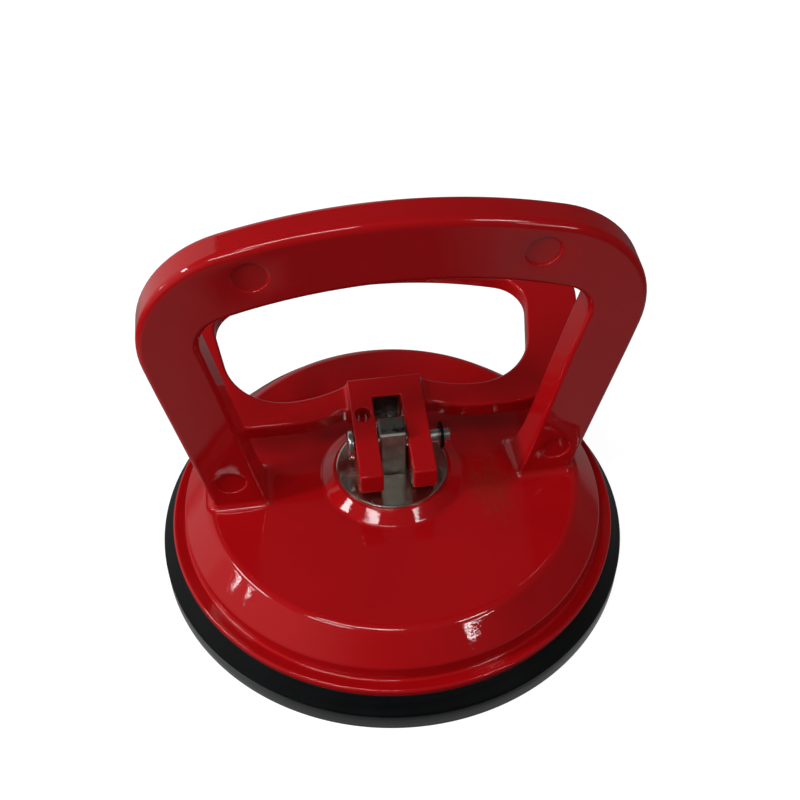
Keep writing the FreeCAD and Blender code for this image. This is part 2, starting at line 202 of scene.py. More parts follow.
ringed = add(tree, "ShaderNodeBump", {"Height": streak.outputs["Fac"], "Distance": mould_ring_depth,
                                      "Strength": 0.6, "Normal": relief.outputs["Normal"]})
tree.links.new(ringed.outputs["Normal"], shader.inputs["Normal"])
shader.inputs["Specular IOR Level"].default_value = 0.15

section = [(0, 0, 0)]
for ring in reversed(range(groove_count)):
    outer = groove_outer - ring * groove_pitch
    inner = outer - groove_width
    section += [(inner, 0, 0.2), (inner, groove_depth, 0.3), (outer, groove_depth, 0.3), (outer, 0, 0.2)]
section += [
    (pad_radius, 0, 0.6),
    (pad_radius, pad_edge_height, 1.2),
    (flange_radius, pad_rim_height, 0.3),
    (mouth_radius, pad_rim_height, 0),
    (mouth_radius, pad_web, 0.8),
    (0, pad_web, 0),
]
shape = bmesh.new()
turned(shape, rounded(section, steps=5), pad_sides)
piece("rubber_pad_moulding", shape, rubber, "rubber", "base", "rubber_pad")

# Backing plate and pull stud
# A zinc plated disc is bonded to the back of the pad, and a flat steel stud is riveted to it.
# The lever draws the stud, and so the middle of the pad, upwards.
steel_light = "#C4C2BA"
steel_shade = "#8A8880"
brush_pitch = 0.00035
brush_depth = 0.00002
brush_stretch = 0.03
smear_size = 0.004
# Painted shade for the stud's top: dark grey, with black blotches.
stud_top_shade_grey = "#6E6C66"
stud_top_shade_black = "#0C0C0C"
top_shade_band = 0.0005
top_shade_fade = 0.0001
shade_blotch_size = 0.0035
stud_top = 0.0381
stud_front = -0.0025
zinc_shade = "#A9A9A6"
zinc_light = "#D6D5D0"
zinc_patch = 0.0025
zinc_depth = 0.00002


def dress(node, finish):
    """A CAD node keeps its mesh and takes a finish."""
    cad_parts[node].data.materials.clear()
    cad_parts[node].data.materials.append(finish)


# Cold drawn steel, brushed along its length: grey, with upright lines that catch the light, drawn coarser
# than real ones so that they show. Its sawn top, down between the prongs, is painted dark with black
# blotches as painted shade.
drawn_steel, tree, shader, place = finish_named("brushed drawn steel")
stretched = add(tree, "ShaderNodeMapping", {"Vector": place, "Scale": (1, 1, brush_stretch)})
lines = add(tree, "ShaderNodeTexNoise", {"Vector": stretched.outputs[0], "Scale": 1 / brush_pitch,
                                         "Detail": 3.0})
smear = add(tree, "ShaderNodeTexNoise", {"Vector": place, "Scale": 1 / smear_size, "Detail": 3.0})
shade = add(tree, "ShaderNodeMapRange", {0: smear.outputs["Fac"], 1: 0.3, 2: 0.7})
tone = add(tree, "ShaderNodeMix", {0: shade.outputs[0], 6: linear(steel_shade), 7: linear(steel_light)},
           data_type="RGBA")
high = add(tree, "ShaderNodeSeparateXYZ", {0: place})
# Painted shade: the top of the stud, behind its front edge, goes dark grey with black blotches.
top_shade_mask = add(tree, "ShaderNodeMapRange", {0: high.outputs["Z"], 1: stud_top - top_shade_band - top_shade_fade,
                                        2: stud_top - top_shade_band})
inside = add(tree, "ShaderNodeMapRange", {0: high.outputs["Y"], 1: stud_front - top_shade_fade,
                                          2: stud_front + top_shade_fade})
top_shade_mask = add(tree, "ShaderNodeMath", {0: top_shade_mask.outputs[0], 1: inside.outputs[0]}, operation="MULTIPLY")
shade_blotch_noise = add(tree, "ShaderNodeTexNoise", {"Vector": place, "Scale": 1 / shade_blotch_size, "Detail": 2.0})
shade_blotches = add(tree, "ShaderNodeMapRange", {0: shade_blotch_noise.outputs["Fac"], 1: 0.4, 2: 0.5})
shaded_top = add(tree, "ShaderNodeMix", {0: shade_blotches.outputs[0], 6: linear(stud_top_shade_black), 7: linear(stud_top_shade_grey)},
           data_type="RGBA")
tone = add(tree, "ShaderNodeMix", {0: top_shade_mask.outputs[0], 6: tone.outputs[2], 7: shaded_top.outputs[2]},
           data_type="RGBA")
tree.links.new(tone.outputs[2], shader.inputs["Base Color"])
dull = add(tree, "ShaderNodeMapRange", {0: lines.outputs["Fac"], 1: 0.3, 2: 0.7, 3: 0.4, 4: 0.6})
tree.links.new(dull.outputs[0], shader.inputs["Roughness"])
relief = add(tree, "ShaderNodeBump", {"Height": lines.outputs["Fac"], "Distance": brush_depth,
                                      "Strength": 0.5})
tree.links.new(relief.outputs["Normal"], shader.inputs["Normal"])
shader.inputs["Metallic"].default_value = 1.0

# Zinc plate: a bright grey skin with a soft satin gloss and a slightly uneven tone.
zinc_plate, tree, shader, place = finish_named("zinc plated steel")
patch = add(tree, "ShaderNodeTexNoise", {"Vector": place, "Scale": 1 / zinc_patch, "Detail": 4.0})
tone = add(tree, "ShaderNodeMix", {0: patch.outputs["Fac"], 6: linear(zinc_shade), 7: linear(zinc_light)},
           data_type="RGBA")
tree.links.new(tone.outputs[2], shader.inputs["Base Color"])
dull = add(tree, "ShaderNodeMapRange", {0: patch.outputs["Fac"], 1: 0.3, 2: 0.7, 3: 0.18, 4: 0.32})
tree.links.new(dull.outputs[0], shader.inputs["Roughness"])
relief = add(tree, "ShaderNodeBump", {"Height": patch.outputs["Fac"], "Distance": zinc_depth,
                                      "Strength": 0.4})
tree.links.new(relief.outputs["Normal"], shader.inputs["Normal"])
shader.inputs["Metallic"].default_value = 1.0

dress("pull_stud", drawn_steel)
dress("backing_plate", zinc_plate)

# Return spring
# A coil of zinc plated spring wire around the stud, between the backing plate and the dish.
# The plate shortens it as the stud rises, and it presses the pad out again when the lever is let back.
spring_wire = 1.4
spring_radius = 6.3
spring_turns = 4
spring_foot = 7.1
spring_head = 20.2
wire_sides = 12
steps_per_turn = 36


def lofted(shape, rings, skip=lambda station, side: False):
    """Four-sided faces between neighbouring rings of the same count."""
    made = [[shape.verts.new(p) for p in ring] for ring in rings]
    for i in range(len(made) - 1):
        for k in range(len(made[i])):
            following = (k + 1) % len(made[i])
            if not skip(i, k):
                shape.faces.new([made[i][k], made[i][following], made[i + 1][following], made[i + 1][k]])
    return made


wire_radius = spring_wire / 2
rings = []
for k in range(steps_per_turn * spring_turns + 1):
    turn = 2 * math.pi * k / steps_per_turn
    climbed = min(1.0, max(0.0, (turn - math.pi) / (2 * math.pi * (spring_turns - 1))))
    height = spring_foot + wire_radius + climbed * (spring_head - spring_foot - spring_wire)
    ring = []
    for around in once_round(wire_sides):
        radius = spring_radius + wire_radius * math.cos(around)
        rise = wire_radius * math.sin(around)
        ring.append((radius * math.cos(turn), radius * math.sin(turn), height + rise))
    rings.append(ring)
shape = bmesh.new()
made = lofted(shape, rings)
shape.faces.new(made[0])
shape.faces.new(made[-1])
spring = piece("return_spring_coil", shape, zinc_plate, "steel", "base", "return_spring")
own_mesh(spring)

# Dish
# A die cast aluminium shell with a flat top, a chamfer and a stepped flange, painted gloss red.
# A conical collar rises round the stud; ribs and screw bosses stiffen it underneath.
step_radius = 52.5
flat_radius = 46.2
flat_z = 21.2
ceiling_z = 18.0
ridge_z = 14.8
step_foot_z = 10.3
flange_z = 11.2
rim_roof_z = 11.6
ceiling_radius = 40.7
bore_radius = 4.76
washer_radius = 14.0
washer_seat = 22.9
collar_z = 23.6
collar_radius = 14.7
collar_foot = 17.8
hub_boss_radius = 13.0
hub_boss_bottom = 16.4
spring_top = 20.3
spring_pocket = 7.8
dish_sides = 256
foot_centre_x = 37.8
screw_y = -1.75
paint_red = "#B00B11"
paint_deep = "#A4080D"
paint_dusty = "#9A1E16"
depth_size = 0.02
swell_size = 0.006
swell_height = 0.00004
peel_size = 0.0006
peel_height = 0.00001
dry_centre = (0.0235, -0.008, 0.0212)
dry_reach = (0.009, 0.016, 0.01)
dry_fray = 0.003
dry_grit = 0.0006
dry_height = 0.00009
nib_spacing = 0.006
nib_share = 0.025
nib_height = 0.00006

# Stoved gloss enamel over a casting: deep red under a clear skin, with fine orange peel
# that breaks up small reflections, a slow swell from the casting, a patch of dry spray and a few dust nibs.
enamel, tree, shader, place = finish_named("stoved red enamel on die cast aluminium")
depth = add(tree, "ShaderNodeTexNoise", {"Vector": place, "Scale": 1 / depth_size, "Detail": 2.0})
tone = add(tree, "ShaderNodeMix", {0: depth.outputs["Fac"], 6: linear(paint_deep), 7: linear(paint_red)},
           data_type="RGBA")
peel = add(tree, "ShaderNodeTexNoise", {"Vector": place, "Scale": 1 / peel_size, "Detail": 2.0})
swell = add(tree, "ShaderNodeTexNoise", {"Vector": place, "Scale": 1 / swell_size, "Detail": 1.0})
dust = add(tree, "ShaderNodeTexVoronoi", {"Vector": place, "Scale": 1 / nib_spacing})
nib = add(tree, "ShaderNodeMapRange", {0: dust.outputs["Distance"], 1: 0.0, 2: nib_share, 3: 1.0, 4: 0.0})
low = add(tree, "ShaderNodeBump", {"Height": swell.outputs["Fac"], "Distance": swell_height,
                                   "Strength": 1.0})
fine = add(tree, "ShaderNodeBump", {"Height": peel.outputs["Fac"], "Distance": peel_height,
                                    "Strength": 1.0, "Normal": low.outputs["Normal"]})
frayed = add(tree, "ShaderNodeTexNoise", {"Vector": place, "Scale": 1 / dry_fray, "Detail": 2.0})
away = add(tree, "ShaderNodeVectorMath", {0: place, 1: dry_centre}, operation="SUBTRACT")
away = add(tree, "ShaderNodeVectorMath", {0: away.outputs[0], 1: dry_reach}, operation="DIVIDE")
away = add(tree, "ShaderNodeVectorMath", {0: away.outputs[0]}, operation="LENGTH")
away = add(tree, "ShaderNodeMath", {0: away.outputs["Value"], 1: frayed.outputs["Fac"]})
dry = add(tree, "ShaderNodeMapRange", {0: away.outputs[0], 1: 0.8, 2: 1.6, 3: 1.0, 4: 0.0})
grit = add(tree, "ShaderNodeTexNoise", {"Vector": place, "Scale": 1 / dry_grit, "Detail": 3.0})
rough = add(tree, "ShaderNodeMath", {0: dry.outputs[0], 1: grit.outputs["Fac"]}, operation="MULTIPLY")
dusty = add(tree, "ShaderNodeMapRange", {0: rough.outputs[0], 1: 0.25, 2: 0.6})
tone = add(tree, "ShaderNodeMix", {0: dusty.outputs[0], 6: tone.outputs[2], 7: linear(paint_dusty)},
           data_type="RGBA")
tree.links.new(tone.outputs[2], shader.inputs["Base Color"])
sprayed = add(tree, "ShaderNodeBump", {"Height": rough.outputs[0], "Distance": dry_height,
                                       "Strength": 1.0, "Normal": fine.outputs["Normal"]})
specks = add(tree, "ShaderNodeBump", {"Height": nib.outputs[0], "Distance": nib_height, "Strength": 1.0,
                                      "Normal": sprayed.outputs["Normal"]})
tree.links.new(specks.outputs["Normal"], shader.inputs["Normal"])
tree.links.new(specks.outputs["Normal"], shader.inputs["Coat Normal"])
shader.inputs["Roughness"].default_value = 0.42
shader.inputs["Specular IOR Level"].default_value = 0.03
shader.inputs["Coat Weight"].default_value = 0.9
shader.inputs["Coat Roughness"].default_value = 0.02

section = [
    (bore_radius, washer_seat, 0),
    (washer_radius, washer_seat, 0),
    (washer_radius, collar_z, 0),
    (collar_radius, collar_z, 0.35),
    (collar_foot, flat_z, 1.8),
    (flat_radius, flat_z, 3.0),
    (step_radius, ridge_z, 1.1),
    (step_radius, step_foot_z, 0.6),
    (flange_radius, flange_z, 0.6),
    (flange_radius, pad_rim_height, 0.25),
    (mouth_radius, pad_rim_height, 0),
    (mouth_radius, rim_roof_z, 0.6),
    (ceiling_radius, ceiling_z, 3.0),
    (hub_boss_radius, ceiling_z, 0.6),
    (hub_boss_radius, hub_boss_bottom, 0.6),
    (spring_pocket, hub_boss_bottom, 0),
    (spring_pocket, spring_top, 0),
    (bore_radius, spring_top, 0),
]
shape = bmesh.new()
turned(shape, rounded(section, steps=8), dish_sides)
piece("dish_casting", shape, enamel, "red_paint", "base", "dish")

# Ribs and screw bosses under the dish
# They are cast in one with the dish, out of sight between it and the pad.
# The ribs run out from the hub boss to the inner chamfer; the bosses take the handle's screws.
rib_count = 6
rib_thickness = 2.4
rib_drop = 2.6
rib_inner = 9.8
rib_outer = ceiling_radius
root_depth = 1.6
boss_radius = 5.6
boss_bore = 2.2
boss_drop = 3.0
boss_sides = 64

ribs = bpy.data.node_groups.new("ribs under the dish", "GeometryNodeTree")
ribs.interface.new_socket("Count", in_out="INPUT", socket_type="NodeSocketInt")
for label in ("Middle Radius", "Length", "Thickness", "Depth", "Middle Height"):
    ribs.interface.new_socket(label, in_out="INPUT", socket_type="NodeSocketFloat")
ribs.interface.new_socket("Geometry", in_out="OUTPUT", socket_type="NodeSocketGeometry")
sizes = add(ribs, "NodeGroupInput").outputs
ring = add(ribs, "GeometryNodeMeshCircle", {"Vertices": sizes["Count"], "Radius": sizes["Middle Radius"]})
bar_size = add(ribs, "ShaderNodeCombineXYZ", {0: sizes["Length"], 1: sizes["Thickness"], 2: sizes["Depth"]})
bar = add(ribs, "GeometryNodeMeshCube", {"Size": bar_size.outputs[0]})
outwards = add(ribs, "GeometryNodeInputPosition")
facing = add(ribs, "FunctionNodeAlignRotationToVector", {"Vector": outwards.outputs[0]}, axis="X")
bars = add(ribs, "GeometryNodeInstanceOnPoints", {"Points": ring.outputs[0], "Instance": bar.outputs[0],
                                                  "Rotation": facing.outputs[0]})
lift = add(ribs, "ShaderNodeCombineXYZ", {2: sizes["Middle Height"]})
placed = add(ribs, "GeometryNodeTransform", {"Geometry": bars.outputs[0], "Translation": lift.outputs[0],
                                             "Rotation": (0, 0, math.pi / rib_count)})
solid = add(ribs, "GeometryNodeRealizeInstances", {"Geometry": placed.outputs[0]})
painted = add(ribs, "GeometryNodeSetMaterial", {"Geometry": solid.outputs[0], "Material": enamel})
add(ribs, "NodeGroupOutput", {"Geometry": painted.outputs[0]})

rib_values = {
    "Count": rib_count,
    "Middle Radius": (rib_inner + rib_outer) / 2000,
    "Length": (rib_outer - rib_inner) / 1000,
    "Thickness": rib_thickness / 1000,
    "Depth": (rib_drop + root_depth) / 1000,
    "Middle Height": (ceiling_z + root_depth / 2 - rib_drop / 2) / 1000,
}
holder = bpy.data.objects.new("rib_pattern", bpy.data.meshes.new("rib_pattern"))
bpy.context.scene.collection.objects.link(holder)
pattern = holder.modifiers.new("ribs", "NODES")
pattern.node_group = ribs
for socket in ribs.interface.items_tree:
    if socket.in_out == "INPUT":
        pattern[socket.identifier] = rib_values[socket.name]
bpy.context.view_layer.update()
evaluated = holder.evaluated_get(bpy.context.evaluated_depsgraph_get())
shape = bmesh.new()
shape.from_mesh(bpy.data.meshes.new_from_object(evaluated))
shape.transform(Matrix.Scale(1000, 4))
bpy.data.objects.remove(holder)
for side in (-1, 1):
    boss = bmesh.new()
    root, foot = ceiling_z + root_depth, ceiling_z - boss_drop
    turned(boss, rounded([(boss_bore, root, 0), (boss_radius, root, 0),
                          (boss_radius, foot, 0.5), (boss_bore, foot, 0)]), boss_sides)
    boss.transform(Matrix.Translation((side * foot_centre_x, screw_y, 0)))
    boss_mesh = bpy.data.meshes.new("boss")
    boss.to_mesh(boss_mesh)
    boss.free()
    shape.from_mesh(boss_mesh)
piece("dish_ribs", shape, enamel, "red_paint", "base", "dish")

# Wear washer
# A hardened and polished steel disc pressed into the collar, on which the cam prongs slide.
# A slot in its middle keeps the stud from turning.
washer_top = 24.4
washer_sides = 160
slot_half_x = 3.35
slot_half_y = 3.25
slot_corner = 0.4
slot_break = 0.3
polish_shade = "#B4B3A8"
polish_light = "#D8D7CC"
polish_pitch = 0.0006
polish_depth = 0.000002
polish_smear = 0.005


def loop_of(shape, points):
    """New vertices at the points, joined by edges into a closed loop."""
    verts = [shape.verts.new(p) for p in points]
    for a, b in zip(verts, verts[1:] + verts[:1]):
        shape.edges.new((a, b))
    return verts


def filled(shape, *loops):
    """Fills the flat area between closed loops of vertices."""
    edges = []
    for verts in loops:
        for a, b in zip(verts, verts[1:] + verts[:1]):
            edges.append(shape.edges.get((a, b)) or shape.edges.new((a, b)))
    bmesh.ops.triangle_fill(shape, edges=edges, use_beauty=True)


def walled(shape, lower, upper):
    """A wall of four-sided faces between two closed loops of the same count."""
    for k in range(len(lower)):
        following = (k + 1) % len(lower)
        shape.faces.new([lower[k], lower[following], upper[following], upper[k]])


# Polished steel: nearly a mirror, greyed by faint rings from the polishing wheel and a trace of oil.
# The rings are drawn coarser than real ones, so that they show; a wave repeats 20 times in one unit.
polished_steel, tree, shader, place = finish_named("polished hardened steel")
wheel = add(tree, "ShaderNodeTexWave", {"Vector": place, "Scale": 1 / (polish_pitch * 20),
                                        "Distortion": 0.6, "Detail": 2.0},
            wave_type="RINGS", rings_direction="Z")
smear = add(tree, "ShaderNodeTexNoise", {"Vector": place, "Scale": 1 / polish_smear, "Detail": 4.0})
tone = add(tree, "ShaderNodeMix", {0: smear.outputs["Fac"], 6: linear(polish_shade),
                                   7: linear(polish_light)}, data_type="RGBA")
tree.links.new(tone.outputs[2], shader.inputs["Base Color"])
dull = add(tree, "ShaderNodeMapRange", {0: smear.outputs["Fac"], 1: 0.3, 2: 0.7, 3: 0.16, 4: 0.3})
tree.links.new(dull.outputs[0], shader.inputs["Roughness"])
relief = add(tree, "ShaderNodeBump", {"Height": wheel.outputs["Fac"], "Distance": polish_depth,
                                      "Strength": 0.6})
tree.links.new(relief.outputs["Normal"], shader.inputs["Normal"])
shader.inputs["Metallic"].default_value = 1.0

# The rim from the seat round the outside to the top, as (distance in from the edge, height) points.
rim_profile = [
    (0.4, washer_seat),
    (0.0, washer_seat),
    (0.0, washer_top - 0.45),
    (0.12, washer_top - 0.14),
    (0.4, washer_top),
    (0.6, washer_top),
]
shape = bmesh.new()
rim = [ring_at(shape, washer_radius - inset, height, washer_sides) for inset, height in rim_profile]
for lower, upper in zip(rim, rim[1:]):
    walled(shape, lower, upper)
slot = []
for spread, height in ((0, washer_seat), (0, washer_top - slot_break), (slot_break, washer_top)):
    half_x, half_y, corner = slot_half_x + spread, slot_half_y + spread, slot_corner + spread
    outline = rounded([(-half_x, -half_y, corner), (half_x, -half_y, corner),
                       (half_x, half_y, corner), (-half_x, half_y, corner)], steps=4)
    slot.append(loop_of(shape, [(p.x, p.y, height) for p in outline]))
walled(shape, slot[0], slot[1])
walled(shape, slot[1], slot[2])
filled(shape, rim[0], slot[0])
filled(shape, rim[-1], slot[2])
piece("wear_washer_disc", shape, polished_steel, "polished_steel", "base", "wear_washer")

# Bow handle
# A die cast grip on two splayed legs, leaning slightly forward, painted together with the dish.
# Ejector pins left four round marks on its front, and each foot swells into a buttress behind.
handle_lean = math.radians(5.0)
leg_splay = math.radians(10.1)
handle_y = -1.35
handle_half = 4.1
leg_edge = 1.0
grip_edge = 1.7
edge_grows_from = 45.0
edge_grows_over = 20.0
edge_steps = 7
handle_height = 86.1
handle_crown = 130.0
grip_height = 16.1
foot_outer = 44.4
leg_width = 13.2
shoulder_radius = 26.0
inner_corner = 8.0
buttress_reach = 3.0
buttress_height = 13.0
buttress_curve = 1.5
foot_fillet = 2.2
foot_twist_height = 6.0
mark_radius = 4.0
mark_depth = 0.4
mark_sides = 48
upper_mark_x = 29.2
upper_mark_height = 75.6
lower_mark_height = 9.8
leg_levels = [0.0, 0.08, 0.22, 0.45, 0.75, 1.1, 1.6, foot_fillet, 3.0, 5.0, 7.5, 10.0, buttress_height]


def shoulder_of(base, crown_top, crown_radius, radius):
    """Arc between a splayed side that starts at base and a crowned end: its centre and its end angle."""
    along = Vector((math.sin(leg_splay), math.cos(leg_splay)))
    inwards = Vector((-math.cos(leg_splay), math.sin(leg_splay)))
    crown_centre = Vector((0, crown_top - crown_radius))
    start = base + inwards * radius - crown_centre
    b = start.dot(along)
    c = start.dot(start) - (crown_radius - radius) ** 2
    centre = start + along * (math.sqrt(b * b - c) - b)
    return centre + crown_centre, math.atan2(centre.y, centre.x)


def arc_points(centre, radius, start, end, count):
    """Points along an arc, without its first one."""
    turns = [start + (end - start) * k / count for k in range(1, count + 1)]
    return [Vector((centre[0] + radius * math.cos(t), centre[1] + radius * math.sin(t))) for t in turns]


def bow_outline(foot, height, crown, corner):
    """Outline of the bow as (x, height) points, from the right foot over the top to the left foot."""
    centre, turn = shoulder_of(Vector((foot, 0)), height, crown, corner)
    points = [Vector((foot + h * math.tan(leg_splay), h)) for h in leg_levels]
    leg_end = centre + corner * Vector((math.cos(leg_splay), -math.sin(leg_splay)))
    points += [points[-1].lerp(leg_end, k / 5) for k in range(1, 6)]
    points += arc_points(centre, corner, -leg_splay, turn, 18)
    points += arc_points((0, height - crown), crown, turn, math.pi / 2, 22)
    return points + [Vector((-p.x, p.y)) for p in reversed(points[:-1])]


def leaning(x, depth, height):
    """A point of the bow, drawn upright, in its place on the dish."""
    y = depth * math.cos(handle_lean) - height * math.sin(handle_lean)
    z = depth * math.sin(handle_lean) + height * math.cos(handle_lean)
    return Vector((x, handle_y + y, flat_z + z))


outer = bow_outline(foot_outer, handle_height, handle_crown, shoulder_radius)
inner = bow_outline(foot_outer - leg_width, handle_height - grip_height,
                    handle_crown - grip_height, inner_corner)
rings = []
for far, near in zip(outer, inner):
    level = min(far.y, near.y)
    across = far - near
    below = max(0.0, foot_fillet - level)
    flare = foot_fillet - math.sqrt(max(0.0, foot_fillet ** 2 - below ** 2))
    rise = min(1.0, level / buttress_height)
    back = handle_half + buttress_reach * (1 - rise) ** buttress_curve
    front = -handle_half - flare
    width = across.length
    up = min(1.0, max(0.0, (level - edge_grows_from) / edge_grows_over))
    edge = leg_edge + (grip_edge - leg_edge) * up + flare
    section = rounded([(-flare, front, edge), (width + flare, front, edge),
                       (width + flare, back + flare, edge), (-flare, back + flare, edge)], steps=edge_steps)
    square = max(0.0, 1 - level / foot_twist_height) * math.tan(handle_lean)
    ring = []
    for reach, depth in section:
        spot = near + across * (reach / width)
        drop = depth * square
        splay = math.copysign(drop * math.tan(leg_splay), spot.x)
        ring.append(leaning(spot.x - splay, depth, spot.y - drop))
    rings.append(ring)

# The front face is left out of the loft above the foot fillet, and filled round the four marks instead.
flat_start = leg_levels.index(foot_fillet)
flat_end = len(rings) - 1 - flat_start
shape = bmesh.new()
made = lofted(shape, rings, lambda i, k: k == edge_steps + 1 and flat_start <= i < flat_end)
shape.faces.new(made[0])
shape.faces.new(made[-1])
face_edge = [ring[edge_steps + 1] for ring in made[flat_start:flat_end + 1]]
face_edge += [ring[edge_steps + 2] for ring in reversed(made[flat_start:flat_end + 1])]
lower_mark_x = foot_centre_x + lower_mark_height * math.tan(leg_splay)

# Each mark from its rim to its floor, as (distance in from the rim, depth) points.
mark_profile = [(0.0, 0.0), (0.12, 0.03), (0.2, 0.12), (0.24, 0.28), (0.36, 0.37), (0.6, mark_depth)]
mark_rims = []
for mark_x, mark_height in ((upper_mark_x, upper_mark_height), (lower_mark_x, lower_mark_height)):
    for x in (mark_x, -mark_x):
        cup = []
        for inset, sunk in mark_profile:
            radius = mark_radius - inset
            ring = []
            for t in once_round(mark_sides):
                height = mark_height + radius * math.sin(t)
                spot = leaning(x + radius * math.cos(t), sunk - handle_half, height)
                ring.append(shape.verts.new(spot))
            cup.append(ring)
        for high, low in zip(cup, cup[1:]):
            walled(shape, high, low)
        shape.faces.new(cup[-1])
        mark_rims.append(cup[0])
filled(shape, face_edge, *mark_rims)
piece("bow_handle_casting", shape, enamel, "red_paint", "base", "handle_bow")

# Handle screws and lock washers
# Two black socket screws with zinc plated split washers come up through the dish into the handle's feet.
# The pad hides them.
oxide_dark = "#0B0B0C"
oxide_worn = "#1E1E20"
oxide_patch = 0.0012

# Black oxide on steel: almost black, with a dull metal sheen that changes from spot to spot.
black_steel, tree, shader, place = finish_named("black oxide spring steel")
patch = add(tree, "ShaderNodeTexNoise", {"Vector": place, "Scale": 1 / oxide_patch, "Detail": 3.0})
tone = add(tree, "ShaderNodeMix", {0: patch.outputs["Fac"], 6: linear(oxide_dark), 7: linear(oxide_worn)},
           data_type="RGBA")
tree.links.new(tone.outputs[2], shader.inputs["Base Color"])
dull = add(tree, "ShaderNodeMapRange", {0: patch.outputs["Fac"], 1: 0.3, 2: 0.7, 3: 0.3, 4: 0.5})
tree.links.new(dull.outputs[0], shader.inputs["Roughness"])
shader.inputs["Metallic"].default_value = 1.0

dress("handle_screws", black_steel)
dress("handle_lock_washers", zinc_plate)

# Lever
# A die cast loop with a hub and two cam prongs, painted like the dish, that lies back when released.
# Swung up, its prongs press on the washer and draw the stud, and so the middle of the pad, upwards.
lever_rest = math.radians(12.0)
lever_swing = math.radians(54.0)
pin_z = 33.0
lever_top = 2.0
lever_bottom = -3.2
hub_bottom = -7.0
lever_edge = 0.8
loop_length = 65.0
loop_far = 51.1
loop_crown = 120.0
loop_shoulder = 19.0
loop_inner_shoulder = 9.0
loop_corner = 19.7
loop_corner_x = 32.7
loop_inner_corner = 15.5
bar_front = 6.3
bar_back = 13.2
dip_x = 23.7
dip_front_radius = 32.6
dip_back_radius = 34.1
front_fillet = 2.8
top_fillet = 1.4
under_fillet = 1.2
hub_half = 9.2
hub_top = 3.7
hub_back = 16.44
hub_bevel = 0.4
heel_start = 7.0
heel_length = 3.5
cam_reach = 8.5
cam_rise = 4.1
cam_steps = 14
prong_tip = -11.7
slot_half = 3.6
slot_root = 10.8
slot_wall = 1.7
bore = 1.85
hole_radius = 2.0
hole_depth = 4.5
hole_break = 0.18
hole_sides = 40
hole_u = 6.0
flat_area = 6.0
flat_hem = 0.1
tuck = 0.1
weld = 0.0005
bar_stations = [0, 1.9, 3.8, 5.7, 7.6, 9.0, hub_half]
bar_stations += [9.24, 9.32, 9.48, 9.7, 10.0, 10.4, 10.9, 11.5, 12.2, 13.2]
bar_stations += [14.6 + 1.3 * k for k in range(8)]
# Painted shade for the slot's walls: near black with dark red patches.
slot_shade_black = "#0D0706"
slot_shade_red = "#5A0C0D"
slot_shade_smear = 0.0015
slot_shade_depth = 0.0001


def loop_outline(bar_u, dip_radius, corner_x, corner_radius, far_edge, crown_radius, shoulder):
    """Outline of the loop as (x, u) points, once round from the middle of the front bar."""
    points = []
    for x in bar_stations:
        run = dip_x - max(x, hub_half)
        points.append(Vector((x, bar_u + dip_radius - math.sqrt(dip_radius ** 2 - run ** 2))))
    straight = 3 if corner_x > dip_x else 0
    points += [Vector((dip_x + (corner_x - dip_x) * k / 3, bar_u)) for k in range(1, straight + 1)]
    corner = (corner_x, bar_u + corner_radius)
    points += arc_points(corner, corner_radius, -math.pi / 2, -leg_splay, 19 - straight)
    centre, turn = shoulder_of(points[-1], far_edge, crown_radius, shoulder)
    arm_end = centre + shoulder * Vector((math.cos(leg_splay), -math.sin(leg_splay)))
    points += [points[-1].lerp(arm_end, k / 8) for k in range(1, 9)]
    points += arc_points(centre, shoulder, -leg_splay, turn, 14)
    points += arc_points((0, far_edge - crown_radius), crown_radius, turn, math.pi / 2, 20)
    return points + [Vector((-p.x, p.y)) for p in reversed(points[1:-1])]


def fillet(away, radius):
    """How far a fillet of a radius stands out at a distance away from the wall it runs up."""
    return radius - math.sqrt(radius ** 2 - (radius - away) ** 2) if 0 <= away < radius else 0.0


def cam_point(turn):
    """Point of the cam, whose reach below the pin grows evenly as the lever turns."""
    reach = cam_reach + cam_rise * (turn - lever_rest)
    return Vector((-reach * math.sin(turn) - cam_rise * math.cos(turn),
                   -reach * math.cos(turn) + cam_rise * math.sin(turn)))


def pierced(shape, face, circle):
    """Cuts a round opening, given by its points, out of a flat face."""
    rim = loop_of(shape, circle)
    border = list(face.verts)
    shape.faces.remove(face)
    filled(shape, border, rim)
    return rim


# Painted shade on the slot's walls, deep in the fork: a near black film with dark red patches and a wet,
# uneven shine.
slot_shade_finish, tree, shader, place = finish_named("painted shade in the slot")
smear = add(tree, "ShaderNodeTexNoise", {"Vector": place, "Scale": 1 / slot_shade_smear, "Detail": 4.0})
film = add(tree, "ShaderNodeMapRange", {0: smear.outputs["Fac"], 1: 0.5, 2: 0.75})
tone = add(tree, "ShaderNodeMix", {0: film.outputs[0], 6: linear(slot_shade_black), 7: linear(slot_shade_red)},
           data_type="RGBA")
tree.links.new(tone.outputs[2], shader.inputs["Base Color"])
wet = add(tree, "ShaderNodeMapRange", {0: smear.outputs["Fac"], 1: 0.3, 2: 0.7, 3: 0.2, 4: 0.45})
tree.links.new(wet.outputs[0], shader.inputs["Roughness"])
relief = add(tree, "ShaderNodeBump", {"Height": smear.outputs["Fac"], "Distance": slot_shade_depth,
                                      "Strength": 0.6})
tree.links.new(relief.outputs["Normal"], shader.inputs["Normal"])

